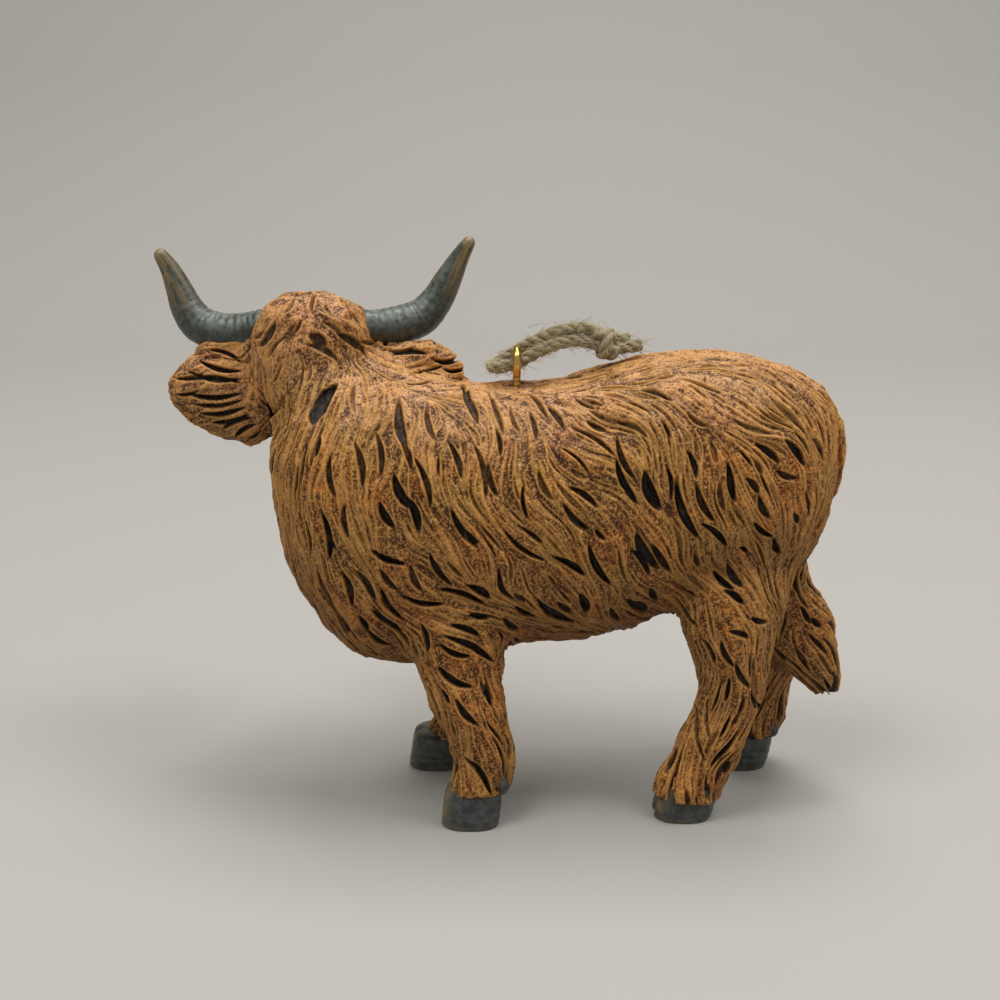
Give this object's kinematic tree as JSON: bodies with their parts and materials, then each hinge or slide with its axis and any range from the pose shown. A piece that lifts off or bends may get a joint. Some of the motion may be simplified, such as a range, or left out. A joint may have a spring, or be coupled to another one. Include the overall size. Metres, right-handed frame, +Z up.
{
  "type": "highland cow hanging ornament",
  "caption": "Painted resin Highland cow figurine with its head turned away, upswept horns and a long coat, hung from a brass screw eye by a knotted jute loop.",
  "frame": {"origin": "on the ground under the middle of the casting's bounding box, twine left out", "axes": "+X from the head end to the rump, +Y towards the animal's right side, which the muzzle points to, +Z up"},
  "size_m": [0.1064, 0.0472, 0.0861],
  "materials": {
    "coat": "hand-painted satin, brown wash over ochre",
    "horn": "hand-painted satin, dark grey-green with tan tips",
    "hoof": "hand-painted satin, charcoal",
    "brass": "bright plated wire",
    "jute": "natural three-ply twine"
  },
  "bodies": {
    "figurine": {"torso": "coat", "neck": "coat", "head": "coat", "horn_left": "horn", "horn_right": "horn", "ear_left": "coat", "ear_right": "coat", "fore_leg_left": "coat", "fore_leg_right": "coat", "hind_leg_left": "coat", "hind_leg_right": "coat", "fore_hoof_left": "hoof", "fore_hoof_right": "hoof", "hind_hoof_left": "hoof", "hind_hoof_right": "hoof", "tail": "coat", "screw_eye": "brass"},
    "hanging_loop": {"twine_loop": "jute", "twine_knot": "jute"}
  },
  "joints": [
    {"name": "loop_swing", "type": "hinge", "parent": "figurine", "child": "hanging_loop", "pos_m": [0.00187, -0.00761, 0.07054], "axis": [0, -1, 0], "range_deg": [0, 120]}
  ]
}
